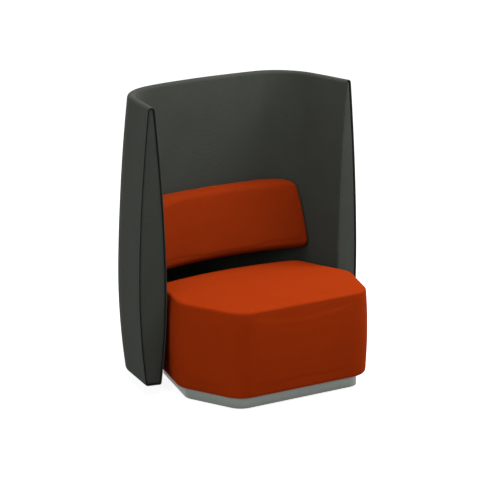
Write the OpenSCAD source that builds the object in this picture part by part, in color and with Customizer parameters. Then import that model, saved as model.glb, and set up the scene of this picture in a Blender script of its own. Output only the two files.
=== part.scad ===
// High back lounge chair: an upholstered seat block on a low plinth, wrapped by a padded screen.
// Millimetres. X runs across the seat, the sitter faces -Y, Z is up.
// The origin is on the floor, in the middle of the chair's bounding box.

/* [Seat block] */
// Width of the straight front edge, corner to corner
seat_front_w = 696; // [560:1:760]
// Distance from the front edge back to the widest corners
seat_wide_y = 315; // [280:1:400]
// Height of the seat's top at its edges
seat_edge_z = 448; // [400:1:480]
// Rise of the crown over the edges, at the middle
seat_crown = 10; // [4:1:20]
// Height of the seat block's underside
seat_bottom_z = 58; // [50:1:90]
// Swell of the upholstered sides at mid height
seat_bulge = 7; // [2:1:12]
// Radius of the soft top edge
seat_edge_r = 13; // [10:1:34]
// Radius of the soft bottom edge
seat_foot_r = 18; // [10:1:26]
// Radius of the two front corners in plan
front_corner_r = 114; // [60:1:116]
// Radius of the two widest corners in plan
wide_corner_r = 125; // [60:1:140]
// Radius of the two rear corners in plan
rear_corner_r = 76; // [50:1:100]
// Angle at which the seat's rear sides run inwards, in degrees
seat_flare = 17; // [12:0.5:26]
// Gap between the seat's sides and the wings, at the wing ends
side_gap = 15; // [4:1:30]
// Gap between the seat's rear and the screen
rear_gap = 111; // [60:1:140]

/* [Screen] */
// Height of the screen's top edge above the floor
screen_h = 1296; // [1150:1:1450]
// Height of the screen's lower edge
screen_bottom_z = 51; // [40:1:90]
// Half the span between the middles of the two wing ends
wing_tip_x = 519; // [470:1:580]
// Distance from the seat's front edge back to the wing ends
wing_tip_y = 425; // [380:1:470]
// Outward flare of the wings, in degrees
wing_flare = 12.4; // [6:0.1:16]
// Radius of the screen's rounded rear corners, at its middle line
screen_corner_r = 220; // [170:1:260]
// Radius of the bowed back, at its middle line
back_bow_r = 1920; // [1500:10:2600]
// Distance from the seat's front edge back to the middle line of the back
back_y = 838; // [780:1:900]
// Thickness of the screen where it is thickest
screen_t = 130; // [110:1:150]
// Height of the thickest level
screen_thick_z = 480; // [400:1:560]
// Thickness at the rounded top edge
screen_top_t = 35; // [28:1:44]
// Thickness at the lower edge
screen_foot_t = 72; // [60:1:90]
// Radius of the lower edges of the screen
screen_foot_r = 10; // [6:1:14]

/* [Lumbar cushion] */
// Height of its underside
lumbar_bottom_z = 504; // [470:1:530]
// Height of its top
lumbar_top_z = 805; // [740:1:860]
// Depth at the top, from the screen's face
lumbar_top_d = 75; // [60:1:95]
// Depth at the bottom, from the screen's face
lumbar_bottom_d = 152; // [120:1:170]
// Radius of the top edge
lumbar_top_r = 25; // [18:1:32]
// Radius of the bottom edge
lumbar_foot_r = 38; // [26:1:50]
// Radius of its hollowed front in plan
lumbar_bow_r = 1407; // [1100:1:1900]
// Radius of the two front corners in plan
lumbar_end_r = 20; // [14:1:28]
// Radius of the soft edges at its two ends
lumbar_side_r = 14; // [8:1:20]
// Swell of the front face
lumbar_crown = 5; // [2:1:10]
// Half the width of the plywood board behind it
lumbar_board_x = 266; // [252:1:270]

/* [Plinth and glides] */
// Recess of the plinth behind the seat's sides
plinth_inset = 48; // [38:1:70]
// How far the plinth's rear stands behind the seat's rear
plinth_reach = 70; // [40:1:90]
// Thickness of the metal laminate round the plinth
plinth_band_t = 1.5; // [1:0.1:3]
// Gap under the plinth with the glides screwed right in
glide_show = 4; // [3:0.5:8]
// Radius of a glide's foot
glide_r = 18; // [14:1:24]
// How far a glide screws out
glide_travel = 10; // [5:1:14]
// Diameter of a glide's stud
glide_stud_d = 8; // [6:1:10]

/* [Boards, foam and cloth] */
// Thickness of the plywood boards
ply_t = 18; // [12:1:24]
// Thickness of the screen's plywood core
core_t = 18; // [12:1:24]
// Thickness of the lumbar cushion's plywood board
lumbar_board_t = 12; // [9:1:15]
// Thickness of the foam on the seat's sides
side_foam_t = 20; // [15:1:30]
// Depth of the top foam
top_foam_t = 110; // [80:1:130]
// Thickness of the upholstery cloth with its backing
cover_t = 2; // [1:0.1:3]
// Least thickness of the wadding between foam and cloth
wadding_t = 3; // [2:0.5:5]
// Width of one webbing strap
strap_w = 60; // [40:1:80]
// Thickness of a webbing strap
strap_t = 2.5; // [1.5:0.5:4]
// Number of webbing straps
strap_count = 6; // [4:1:7]
// Depth of the black welt round a wing's end panel
welt_d = 6; // [4:0.5:8]
// Thickness of an end panel
end_panel_t = 11; // [8:1:15]
// Height of the timber rails along the screen's lower edge
rail_h = 32; // [24:1:50]

/* [Fixings] */
// Diameter of the bolts that hold the screen
screen_bolt_d = 8; // [6:1:10]
// Diameter of the spacers round those bolts
spacer_d = 40; // [30:1:50]
// Heights of the two rows of screen bolts
spacer_low_z = 150; // [120:1:180]
// Height of the upper row
spacer_high_z = 290; // [240:1:300]
// Diameter of the bolts that hold the lumbar cushion
lumbar_bolt_d = 6; // [5:1:8]
// Diameter of the sleeves round those bolts
sleeve_d = 20; // [16:1:26]
// Distance of the lumbar bolts from the middle
sleeve_x = 220; // [160:1:236]
// Inset of the lumbar bolts from the cushion's top and bottom
sleeve_inset_z = 80; // [60:1:110]

/* [Hidden] */
$fn = 64;

// Clearance between soft pieces, and in the joints of boards and foam
fit_gap = 0.3;
// Radial clearance of a screw, bolt or insert in its hole
hole_gap = 0.05;
// How far a cut runs past what it cuts
over = 1;
// Steps of an arc at a rounded corner
corner_steps = 4;
// Steps of a bowed edge, and the place of that edge among the seat's corners
bow_steps = 8;
bow_corner_i = 3;
// Smallest radius that an inset corner keeps
least_r = 3;
// Half a turn in degrees
half_turn = 180;
// Exponents of the screen's taper above and below its thickest level
taper_up = 1.72;
taper_down = 2;
// Levels of the screen's taper, as shares of the height between lower edge and top round
taper_shares = [0.05, 0.12, 0.2, 0.3, 0.42, 0.54, 0.66, 0.77, 0.87, 0.95, 1];
// Angles of the rounded top edge
top_angles = [20, 45, 70, 90];
// Levels of the seat's sides, as shares of the height between its soft edges
side_shares = [0, 0.25, 0.5, 0.75, 1];
// Rings of the seat's crown, as shares of the way from the edge to the middle
crown_shares = [0.12, 0.35, 0.65];
// Angles of a soft edge
edge_angles = [30, 60, 90];

// The frame of the chair in depth: sizes are measured from the seat's front edge
screen_half_t = screen_t / 2;
depth = back_y + screen_half_t;
mid_y = depth / 2;
bow_centre = [0, back_y - back_bow_r];
top_r = screen_top_t / 2;
top_centre_z = screen_h - top_r;
welt_lip = 1;
end_depth = 2 * cover_t + end_panel_t;
board_z0 = seat_bottom_z + cover_t;
board_z1 = board_z0 + ply_t;
foam_inset = seat_bulge + cover_t + wadding_t;
frame_inset = foam_inset + side_foam_t;
board_inset = seat_bulge + seat_foot_r + wadding_t;
top_foam_z1 = seat_edge_z - cover_t - wadding_t;
deck_z = top_foam_z1 - top_foam_t;
carcass_z1 = deck_z - strap_t;
side_foam_z1 = seat_edge_z - seat_edge_r;
rail_z0 = screen_bottom_z + cover_t + fit_gap;
rail_z1 = rail_z0 + rail_h;
core_z1 = top_centre_z - screen_top_t / 4;
skin_t = cover_t + fit_gap;
cover_fold = plinth_inset + plinth_band_t + ply_t / 2 - seat_bulge - seat_foot_r;
lumbar_fold_w = lumbar_foot_r / 2;
plinth_top_z = seat_bottom_z - fit_gap;
lumbar_gap = wadding_t / 3;
lumbar_h = lumbar_top_z - lumbar_bottom_z;

// The largest share of the cushion's depth that its corner radius takes
end_share = 0.4;

// Fixings that follow their bolts
bolt_head_share = 1.8;
tee_flange_share = 2.7;
tee_barrel_share = 1.3;
tee_flange_t = 1.5;
tee_barrel_l = 12;
head_h_share = 0.65;

// Plinth blocks, glides and screws
block_leg = 85;
block_lift = 16;
glide_in = 26;
screw_far = 58;
screw_near = 14;
pad_rim_h = glide_show - fit_gap;
pad_hub_h = 9;
pad_wall = 3;
pad_chamfer = 1;
stud_foot_share = 1.25;
stud_foot_d = glide_stud_d * stud_foot_share;
stud_hex_d = 14;
stud_hex_h = block_lift - pad_hub_h - 2 * fit_gap;
insert_d = 12;
insert_h = 20;
stud_l = insert_h + glide_travel + glide_stud_d;
screw_d = 5;
screw_head_d = 10;
screw_l = 45;
batten_leg = 42;

// Directions along and across the right wing, from its end rearwards and inwards
along = [-sin(wing_flare), cos(wing_flare)];
inward = [-cos(wing_flare), -sin(wing_flare)];
wing_tip = [wing_tip_x, wing_tip_y];

function unit(v) = v / norm(v);
function left(v) = [-v[1], v[0]];
function mix(a, b, share) = a + (b - a) * share;
function polar(r, a) = r * [cos(a), sin(a)];
function angle_of(v) = atan2(v[1], v[0]);
function mirrored(P) = [for (i = [len(P) - 1:-1:0]) [-P[i][0], P[i][1]]];
function reversed(P) = [for (i = [len(P) - 1:-1:0]) P[i]];
function tail(P) = [for (i = [1:len(P) - 1]) P[i]];
function flat(L) = [for (row = L) for (p = row) p];

// Where a rounding of radius r touches both a line through p in direction u and the bow about o:
// side is 1 in front of the bow and -1 behind it. Gives the rounding's centre.
function touch_centre(p, u, r, o, bow_r, side) =
    let (q = p + left(u) * r - o, b = q * u)
    q + u * (sqrt(b * b - q * q + pow(bow_r - side * r, 2)) - b) + o;

// The sharp corner of that line and the back's last tangent, then the apex of both end tangents
function bow_corner(p, u, r, bow_r) =
    let (t = angle_of(touch_centre(p, u, r, bow_centre, bow_r, 1) - bow_centre), v = polar(1, t))
    [p + u * (bow_r - (p - bow_centre) * v) / (u * v),
     [0, bow_centre[1] + bow_r / sin(t)]];

// Points of the arc that rounds corner p between its neighbours a and b
function corner_arc(a, p, b, r, n) =
    let (u = unit(a - p), v = unit(b - p), half = acos(u * v) / 2,
         c = p + unit(u + v) * r / sin(half),
         from = angle_of(p + u * r / tan(half) - c),
         turn = angle_of(p + v * r / tan(half) - c) - from,
         whole = 2 * half_turn,
         sweep = turn > half_turn ? turn - whole : turn < -half_turn ? turn + whole : turn)
    [for (i = [0:n]) c + polar(r, from + sweep * i / n)];

// Corners that run anticlockwise, moved inwards by d
function inset_corners(P, d) =
    [for (i = [0:len(P) - 1])
        let (n = len(P), a = P[(i + n - 1) % n], b = P[(i + 1) % n],
             u = left(unit(P[i] - a)), v = left(unit(b - P[i])))
        P[i] + (u + v) * d / (1 + u * v)];

// The corners' arcs, one list for each corner, moved inwards by d,
// without the two ends of the bow, which its neighbours hold
function arcs(P, R, N, d) =
    let (Q = inset_corners(P, d), n = len(P))
    [for (i = [0:n - 1])
        let (A = corner_arc(Q[(i + n - 1) % n], Q[i], Q[(i + 1) % n], max(R[i] - d, least_r), N[i]))
        i == bow_corner_i ? [for (k = [1:len(A) - 2]) A[k]] : A];

// Plan of the seat block: two front corners, two widest corners, two rear corners and the bow
seat_bow_r = back_bow_r - screen_half_t - rear_gap;
seat_rear_y = back_y - screen_half_t - rear_gap;
seat_along = [-sin(seat_flare), cos(seat_flare)];
seat_side = wing_tip + inward * (screen_half_t + side_gap);
seat_wide = seat_side + seat_along * (seat_wide_y - seat_side[1]) / seat_along[1];
seat_rear = bow_corner(seat_side, seat_along, rear_corner_r, seat_bow_r);
front_corner = [seat_front_w / 2, 0];
seat_right = [front_corner, seat_wide, seat_rear[0]];
seat_corners = concat(seat_right, [seat_rear[1]], mirrored(seat_right));
frame_corners = concat(seat_right, [[0, seat_rear_y]], mirrored(seat_right));
seat_radii = [front_corner_r, wide_corner_r, rear_corner_r, seat_bow_r,
    rear_corner_r, wide_corner_r, front_corner_r];
frame_radii = [front_corner_r, wide_corner_r, rear_corner_r, 0,
    rear_corner_r, wide_corner_r, front_corner_r];
seat_steps = [corner_steps, corner_steps, corner_steps, bow_steps,
    corner_steps, corner_steps, corner_steps];
seat_pole = [0, seat_rear_y / 2];

function seat_ring(d) = flat(arcs(seat_corners, seat_radii, seat_steps, d));
function frame_ring(d) = flat(arcs(frame_corners, frame_radii, seat_steps, d));
function lift(P, z) = [for (p = P) [p[0], p[1], z]];

// Rings of the seat's skin at a depth t under the cloth's outer face, from the foot to the crown
function seat_skin(t) =
    let (foot = seat_foot_r - t, edge = seat_edge_r - t,
         foot_c = [seat_bulge + seat_foot_r, seat_bottom_z + seat_foot_r],
         edge_c = [seat_bulge + seat_edge_r, seat_edge_z - seat_edge_r],
         rim = seat_ring(edge_c[0]))
    concat(
        [lift(seat_ring(foot_c[0]), seat_bottom_z + t)],
        [for (a = edge_angles) lift(seat_ring(foot_c[0] - foot * sin(a)), foot_c[1] - foot * cos(a))],
        [for (s = tail(side_shares))
            lift(seat_ring(seat_bulge * pow(2 * s - 1, 2) + t), mix(foot_c[1], edge_c[1], s))],
        [for (a = edge_angles) lift(seat_ring(edge_c[0] - edge * cos(a)), edge_c[1] + edge * sin(a))],
        [for (s = crown_shares)
            lift([for (p = rim) mix(p, seat_pole, s)], seat_edge_z - t + seat_crown * sin(90 * s))]);
function seat_top(t) = [seat_pole[0], seat_pole[1], seat_edge_z + seat_crown - t];

// Half the screen's thickness at height z
function half_t(z) =
    let (up = (z - screen_thick_z) / (top_centre_z - screen_thick_z),
         down = (screen_thick_z - z) / (screen_thick_z - screen_bottom_z))
    z > screen_thick_z
        ? screen_half_t - (screen_half_t - top_r) * pow(up, taper_up)
        : screen_half_t - (screen_half_t - screen_foot_t / 2) * pow(down, taper_down);

// Heights and half thicknesses between which the screen's side runs straight, from foot to top
side_z0 = screen_bottom_z + screen_foot_r;
side_stops = [for (s = concat([0], taper_shares)) let (h = mix(side_z0, top_centre_z, s)) [h, half_t(h)]];

// The screen's outer side at a depth t under the cloth, from height z to just before the top
function side_point(t, z) = [lookup(z, side_stops) - t, z];
function side_line(t, z) = concat(
    [side_point(t, z)],
    [for (p = side_stops) if (p[0] > z) side_point(t, p[0])],
    [for (a = top_angles) [0, top_centre_z] + polar(top_r - t, a)]);

// The same with the rounded foot and the cloth's fold under it
foot_half_t = half_t(side_z0);
function skin_line(t) =
    let (c = [foot_half_t - screen_foot_r, side_z0])
    concat(
        [[c[0] - screen_foot_r, screen_bottom_z + t]],
        [for (a = [-90, -45]) c + polar(screen_foot_r - t, a)],
        side_line(t, c[1]));
function both_sides(P) = concat(P, tail(mirrored(P)));

// The screen's plan: corner arc's centre, the ends of its sweep and the wing's straight length
corner_centre = touch_centre(wing_tip, along, screen_corner_r, bow_centre, back_bow_r, 1);
bow_angle = angle_of(corner_centre - bow_centre);
wing_l = (corner_centre - wing_tip) * along;
arc_fn = 360;

module at_floor() {
    translate([0, -mid_y, 0]) children();
}

module pair() {
    children();
    mirror([1, 0, 0]) children();
}

// A profile of offset and height, carried along the right wing from skip behind its end
module wing_run(skip) {
    root = wing_tip + along * wing_l;
    translate(root) rotate(wing_flare) rotate([90, 0, 0])
        linear_extrude(wing_l - skip) children();
}

module corner_run(trim) {
    cut = half_turn * trim / (PI * screen_corner_r);
    translate(corner_centre) rotate(wing_flare + cut)
        rotate_extrude(angle = bow_angle - wing_flare - 2 * cut, $fn = arc_fn)
            translate([screen_corner_r, 0]) children();
}

module back_half(trim) {
    cut = half_turn * trim / (PI * back_bow_r);
    translate(bow_centre) rotate(bow_angle)
        rotate_extrude(angle = 90 - bow_angle - cut, $fn = arc_fn)
            translate([back_bow_r, 0]) children();
}

// A profile that follows the whole screen from skip behind its ends, in six butted pieces
module split_run(skip) {
    pair() {
        wing_run(skip) children();
        corner_run(fit_gap) children();
        back_half(fit_gap) children();
    }
}

// A round bar square to the bowed back, turned from the middle, between two distances
// from the bow's centre
module radial(turn, z, from, to, d) {
    translate([0, bow_centre[1], z]) rotate([0, 0, -turn]) rotate([-90, 0, 0])
        translate([0, 0, from]) cylinder(h = to - from, d = d);
}

// Faces of a grid of points whose rows climb and whose columns run anticlockwise
function quad(a, b, c, d) = [[a, c, b], [a, d, c]];
function grid(rows, cols, o) =
    [for (r = [0:rows - 2]) for (c = [0:cols - 1])
        let (e = (c + 1) % cols, f = o + r * cols, g = f + cols)
        each quad(f + c, f + e, g + e, g + c)];
function flipped(F) = [for (f = F) reversed(f)];

// A closed solid through rings, with flat ends
module ring_solid(rings) {
    n = len(rings[0]);
    m = len(rings);
    polyhedron(flat(rings), concat(
        grid(m, n, 0),
        [[for (c = [0:n - 1]) c]],
        [[for (c = [n - 1:-1:0]) (m - 1) * n + c]]), convexity = 6);
}

// A cup of cloth or wadding, open below: rings and a top point outside, rings and a top inside
module cup(out, out_top, in, in_top) {
    n = len(out[0]);
    a = len(out) * n;
    b = a + 1;
    k = len(in) * n;
    polyhedron(concat(flat(out), [out_top], flat(in), [in_top]), concat(
        grid(len(out), n, 0),
        [for (c = [0:n - 1]) [a - n + (c + 1) % n, a - n + c, a]],
        flipped(grid(len(in), n, b)),
        [for (c = [0:n - 1]) [b + k - n + c, b + k - n + (c + 1) % n, b + k]],
        [for (c = [0:n - 1]) each [[c, (c + 1) % n, b + (c + 1) % n], [c, b + (c + 1) % n, b + c]]]),
        convexity = 6);
}

// The same for rings of any plan, with flat tops outside and inside
module bag(out, in) {
    n = len(out[0]);
    a = len(out) * n;
    k = len(in) * n;
    polyhedron(concat(flat(out), flat(in)), concat(
        grid(len(out), n, 0),
        [[for (c = [n:-1:1]) a - c]],
        flipped(grid(len(in), n, a)),
        [[for (c = [1:n]) a + k - c]],
        [for (c = [0:n - 1]) each [[c, (c + 1) % n, a + (c + 1) % n], [c, a + (c + 1) % n, a + c]]]),
        convexity = 6);
}

// Straight lengths mitred at the corners, between an outer ring's arcs and inner corners
module mitred(A, I, z0, z1) {
    n = len(I);
    translate([0, 0, z0]) linear_extrude(z1 - z0)
        for (i = [0:n - 1]) mitred_length(A[i], A[(i + 1) % n], I[i], I[(i + 1) % n]);
}

module mitred_length(a, b, c, d) {
    u = unit(d - c) * fit_gap / 2;
    head = [for (i = [floor(len(a) / 2) + 1:1:len(a) - 1]) a[i]];
    foot = [for (i = [0:1:floor(len(b) / 2) - 1]) b[i]];
    polygon(concat([a[floor(len(a) / 2)] + u], head, foot,
        [b[floor(len(b) / 2)] - u, d - u, c + u]));
}

function sharp(P) = [for (p = P) [p]];

// Plan of the plinth, which follows the seat's front and sides and reaches further back
plinth_shift = plinth_reach + plinth_inset;
plinth_rear = seat_rear[0] + seat_along * plinth_shift / seat_along[1];
plinth_right = [front_corner, seat_wide, plinth_rear];
plinth_corners = concat(plinth_right, [[0, seat_rear_y + plinth_shift]], mirrored(plinth_right));
function plinth_arcs(d) = arcs(plinth_corners, frame_radii, seat_steps, d);

// Corners inside the plinth's boards, and a place in corner i, a and b along its two boards
plinth_in = inset_corners(plinth_corners, plinth_inset + plinth_band_t + ply_t);
function to_last(P, i) = unit(P[(i + len(P) - 1) % len(P)] - P[i]);
function to_next(P, i) = unit(P[(i + 1) % len(P)] - P[i]);
function in_corner(P, i, a, b) = P[i] + to_last(P, i) * a + to_next(P, i) * b;
glide_front = in_corner(plinth_in, 0, glide_in, glide_in);
glide_rear = in_corner(plinth_in, 2, glide_in, glide_in);
block_corners = [0, 1, 2, 4, 5, 6];
screw_corners = [0, 1, 5, 6];

module corner_block(P, i, leg, z0, z1) {
    both = unit(to_last(P, i) + to_next(P, i));
    translate([0, 0, z0]) linear_extrude(z1 - z0)
        polygon([P[i], in_corner(P, i, 0, leg), P[i] + both * leg, in_corner(P, i, leg, 0)]);
}

module at_glides() {
    pair() {
        translate(glide_front) children();
        translate(glide_rear) children();
    }
}

module at_plinth_screws() {
    for (i = screw_corners) {
        translate(in_corner(plinth_in, i, screw_far, screw_near)) children();
        translate(in_corner(plinth_in, i, screw_near, screw_far)) children();
    }
}

// A countersunk screw, its head flush with the base board, or its hole
module plinth_screw(d, head_d, more) {
    head_h = (head_d - d) / 2;
    translate([0, 0, board_z1 - screw_l]) cylinder(h = screw_l - head_h, d = d);
    translate([0, 0, board_z1 - head_h]) cylinder(h = head_h, d1 = d, d2 = head_d);
    if (more > 0) translate([0, 0, board_z1]) cylinder(h = more, d = head_d);
}

module plinth_boards() {
    color("burlywood") at_floor()
        mitred(plinth_arcs(plinth_inset + plinth_band_t), plinth_in, glide_show, plinth_top_z);
}

module plinth_corner_blocks() {
    color("tan") at_floor() difference() {
        for (i = block_corners) corner_block(plinth_in, i, block_leg, block_lift, plinth_top_z);
        at_glides() translate([0, 0, block_lift - over]) {
            cylinder(h = insert_h + over, d = insert_d + 2 * hole_gap);
            cylinder(h = board_z0 - block_lift + 2 * over, d = glide_stud_d + over);
        }
        at_plinth_screws() plinth_screw(screw_d + 2 * hole_gap, screw_head_d, over);
    }
}

module plinth_band() {
    color([0.48, 0.47, 0.45]) at_floor() difference() {
        translate([0, 0, glide_show]) linear_extrude(plinth_top_z - glide_show)
            polygon(flat(plinth_arcs(plinth_inset)));
        translate([0, 0, glide_show - over]) linear_extrude(plinth_top_z - glide_show + 2 * over)
            polygon(flat(plinth_arcs(plinth_inset + plinth_band_t)));
    }
}

module plinth_screws() {
    color("silver") at_floor() at_plinth_screws() plinth_screw(screw_d, screw_head_d, 0);
}

module glide_inserts() {
    color("gold") at_floor() at_glides() translate([0, 0, block_lift]) difference() {
        cylinder(h = insert_h, d = insert_d);
        translate([0, 0, -over]) cylinder(h = insert_h + 2 * over, d = glide_stud_d + 2 * hole_gap);
    }
}

// The foot of a glide: a disc with a socket for the stud
module glide_pad(place) {
    hub_r = stud_foot_d / 2 + pad_wall;
    socket_r = stud_foot_d / 2 + hole_gap;
    color("dimgray") at_floor() translate(place) rotate_extrude()
        polygon([[0, 0], [glide_r - pad_chamfer, 0], [glide_r, pad_chamfer], [glide_r, pad_rim_h],
            [hub_r, pad_rim_h + pad_chamfer], [hub_r, pad_hub_h], [socket_r, pad_hub_h],
            [socket_r, pad_rim_h], [0, pad_rim_h]]);
}

// The threaded stud: a foot in the pad's socket, a collar for a spanner, and the shank
module glide_stud(place) {
    color("silver") at_floor() translate(place) {
        translate([0, 0, glide_show]) cylinder(h = pad_hub_h + fit_gap - glide_show, d = stud_foot_d);
        translate([0, 0, pad_hub_h + fit_gap]) cylinder(h = stud_hex_h, d = stud_hex_d, $fn = 6);
        translate([0, 0, pad_hub_h + fit_gap + stud_hex_h]) cylinder(h = stud_l, d = glide_stud_d);
    }
}

function on_left(p) = [-p[0], p[1]];
module glide_pad_front_left() { glide_pad(on_left(glide_front)); }
module glide_pad_front_right() { glide_pad(glide_front); }
module glide_pad_rear_left() { glide_pad(on_left(glide_rear)); }
module glide_pad_rear_right() { glide_pad(glide_rear); }
module glide_stud_front_left() { glide_stud(on_left(glide_front)); }
module glide_stud_front_right() { glide_stud(glide_front); }
module glide_stud_rear_left() { glide_stud(on_left(glide_rear)); }
module glide_stud_rear_right() { glide_stud(glide_rear); }

// Fixings through the screen: their turn from the middle and their heights
carcass_out = inset_corners(frame_corners, frame_inset);
carcass_in = inset_corners(frame_corners, frame_inset + ply_t);
spacer_turn = atan2(carcass_out[3][1] - carcass_out[2][1], carcass_out[2][0]);
sleeve_turn = asin(sleeve_x / back_bow_r);
spacer_heights = [spacer_low_z, spacer_high_z];
sleeve_heights = [lumbar_bottom_z + sleeve_inset_z, lumbar_top_z - sleeve_inset_z];
core_in = back_bow_r - core_t / 2;
core_out = back_bow_r + core_t / 2;
function board_reach(P) = (P[3] - bow_centre) * [sin(spacer_turn), cos(spacer_turn)];
function face_r(z) = back_bow_r - half_t(z) - lumbar_gap;

module at_spacers(from, to, d) {
    pair() for (z = spacer_heights) radial(spacer_turn, z, from, to, d);
}

module at_sleeves(from, to, d) {
    pair() for (z = sleeve_heights) radial(sleeve_turn, z, from, to, d);
}

module seat_base_board() {
    color("burlywood") at_floor() difference() {
        translate([0, 0, board_z0]) linear_extrude(ply_t) polygon(seat_ring(board_inset));
        at_plinth_screws() plinth_screw(screw_d + 2 * hole_gap, screw_head_d + 2 * hole_gap, over);
    }
}

module seat_carcass_panels() {
    color("burlywood") at_floor() difference() {
        mitred(sharp(carcass_out), carcass_in, board_z1, carcass_z1);
        at_spacers(board_reach(carcass_in) - over, board_reach(carcass_out) + over,
            screen_bolt_d + over);
    }
}

module seat_corner_battens() {
    color("tan") at_floor() translate([0, 0, board_z1]) linear_extrude(carcass_z1 - board_z1)
        for (i = block_corners)
            polygon([carcass_in[i], in_corner(carcass_in, i, 0, batten_leg),
                in_corner(carcass_in, i, batten_leg, 0)]);
}

// Half the carcass's width at depth y
function carcass_half_w(y) =
    let (a = carcass_out[y < carcass_out[1][1] ? 0 : 1], b = carcass_out[y < carcass_out[1][1] ? 1 : 2])
    mix(a[0], b[0], (y - a[1]) / (b[1] - a[1]));

module seat_webbing_straps() {
    first = carcass_in[0][1] + strap_w / 2;
    pitch = (carcass_in[2][1] - strap_w / 2 - first) / strap_count;
    color([0.16, 0.16, 0.15]) at_floor() for (i = [0:strap_count - 1]) {
        y = first + pitch * (i + 0.5) - strap_w / 2;
        w = min(carcass_half_w(y), carcass_half_w(y + strap_w)) - fit_gap;
        translate([-w, y, carcass_z1]) cube([2 * w, strap_w, strap_t]);
    }
}

module seat_side_foam() {
    color([0.93, 0.88, 0.7]) at_floor() difference() {
        mitred(arcs(seat_corners, seat_radii, seat_steps, foam_inset), carcass_out,
            board_z1, side_foam_z1);
        at_spacers(board_reach(carcass_out) - over, seat_bow_r, spacer_d + 2 * fit_gap);
    }
}

module seat_top_foam() {
    color([0.95, 0.9, 0.74]) at_floor() translate([0, 0, deck_z])
        linear_extrude(top_foam_t) polygon(frame_ring(frame_inset + fit_gap));
}

module seat_wadding() {
    side = seat_ring(foam_inset - fit_gap);
    board = seat_ring(board_inset - fit_gap);
    top = seat_ring(frame_inset - fit_gap);
    flat_z = top_foam_z1 + fit_gap;
    color([0.97, 0.97, 0.95]) at_floor() difference() {
        cup(seat_skin(skin_t), seat_top(skin_t),
            [lift(board, board_z0 + fit_gap), lift(board, board_z1 - fit_gap),
             lift(side, board_z1 - fit_gap), lift(side, side_foam_z1 + fit_gap),
             lift(top, side_foam_z1 + fit_gap), lift(top, flat_z)],
            [seat_pole[0], seat_pole[1], flat_z]);
        at_spacers(board_reach(carcass_out), back_bow_r, spacer_d + 2 * fit_gap);
    }
}

module seat_cover() {
    fold = seat_ring(seat_bulge + seat_foot_r + cover_fold);
    color([0.73, 0.24, 0.06]) at_floor() difference() {
        cup(concat([lift(fold, seat_bottom_z)], seat_skin(0)), seat_top(0),
            concat([lift(fold, seat_bottom_z + cover_t)], seat_skin(cover_t)), seat_top(cover_t));
        at_spacers(board_reach(carcass_out), back_bow_r, spacer_d + 2 * fit_gap);
    }
}

module screen_core() {
    color("burlywood") at_floor() difference() {
        split_run(end_depth) translate([-core_t / 2, rail_z0]) square([core_t, core_z1 - rail_z0]);
        at_spacers(core_in - over, core_out + over, screen_bolt_d * tee_barrel_share + 2 * hole_gap);
        at_sleeves(core_in - over, core_out + over, lumbar_bolt_d + 2 * fit_gap);
    }
}

// Half sections of the rails and the foam, on the outer side of the core
rail_line = concat(
    [[core_t / 2 + fit_gap, rail_z0], [foot_half_t - screen_foot_r, rail_z0],
     [foot_half_t - screen_foot_r, side_z0] + polar(screen_foot_r - skin_t, -45)],
    [for (z = [side_z0, rail_z1]) side_point(skin_t, z)],
    [[core_t / 2 + fit_gap, rail_z1]]);
foam_side = side_line(skin_t, rail_z1 + fit_gap);
foam_line = concat(
    [[core_t / 2 + fit_gap, rail_z1 + fit_gap]],
    [for (i = [0:len(foam_side) - 2]) foam_side[i]],
    [[fit_gap / 2, top_centre_z + top_r - skin_t], [fit_gap / 2, core_z1 + fit_gap],
     [core_t / 2 + fit_gap, core_z1 + fit_gap]]);

module screen_outer_rail() {
    color("tan") at_floor() split_run(end_depth) polygon(rail_line);
}

module screen_inner_rail() {
    color("tan") at_floor() split_run(end_depth) polygon(mirrored(rail_line));
}

module screen_outer_foam() {
    color([0.9, 0.86, 0.7]) at_floor() difference() {
        split_run(end_depth) polygon(foam_line);
        at_spacers(core_out, core_out + screen_bolt_d, screen_bolt_d * tee_flange_share + over);
        at_sleeves(core_out, core_out + lumbar_bolt_d, lumbar_bolt_d * bolt_head_share + over);
    }
}

module screen_inner_foam() {
    color([0.9, 0.86, 0.7]) at_floor() difference() {
        split_run(end_depth) polygon(mirrored(foam_line));
        at_spacers(core_in - screen_t, core_in, spacer_d + 2 * fit_gap);
        at_sleeves(core_in - screen_t, core_in, sleeve_d + 2 * fit_gap);
    }
}

module screen_cover() {
    color([0.24, 0.25, 0.22]) at_floor() difference() {
        split_run(0) polygon(concat(both_sides(skin_line(0)), reversed(both_sides(skin_line(cover_t)))));
        at_spacers(core_in - screen_t, core_in, spacer_d + 2 * fit_gap);
        at_sleeves(core_in - screen_t, core_in, sleeve_d + 2 * fit_gap);
    }
}

// A flat piece across a wing's end, its front face lip behind the cover's edge
module across_end(lip, t) {
    translate(wing_tip + along * (lip + t)) rotate(wing_flare) rotate([90, 0, 0])
        linear_extrude(t) children();
}

module end_panel() {
    across_end(end_depth - end_panel_t, end_panel_t - fit_gap)
        polygon(both_sides(skin_line(cover_t + welt_d + fit_gap)));
}

module end_welt() {
    difference() {
        across_end(welt_lip, welt_d) polygon(both_sides(skin_line(skin_t)));
        across_end(welt_lip - over, welt_d + 2 * over)
            polygon(both_sides(skin_line(cover_t + welt_d)));
    }
}

module end_panel_left() { color([0.22, 0.23, 0.2]) at_floor() mirror([1, 0, 0]) end_panel(); }
module end_panel_right() { color([0.22, 0.23, 0.2]) at_floor() end_panel(); }
module end_welt_left() { color([0.05, 0.05, 0.04]) at_floor() mirror([1, 0, 0]) end_welt(); }
module end_welt_right() { color([0.05, 0.05, 0.04]) at_floor() end_welt(); }

module screen_spacers() {
    color("wheat") at_floor() difference() {
        at_spacers(board_reach(carcass_out), core_in - fit_gap, spacer_d);
        at_spacers(board_reach(carcass_out) - over, core_in + over, screen_bolt_d + over);
    }
}

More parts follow.
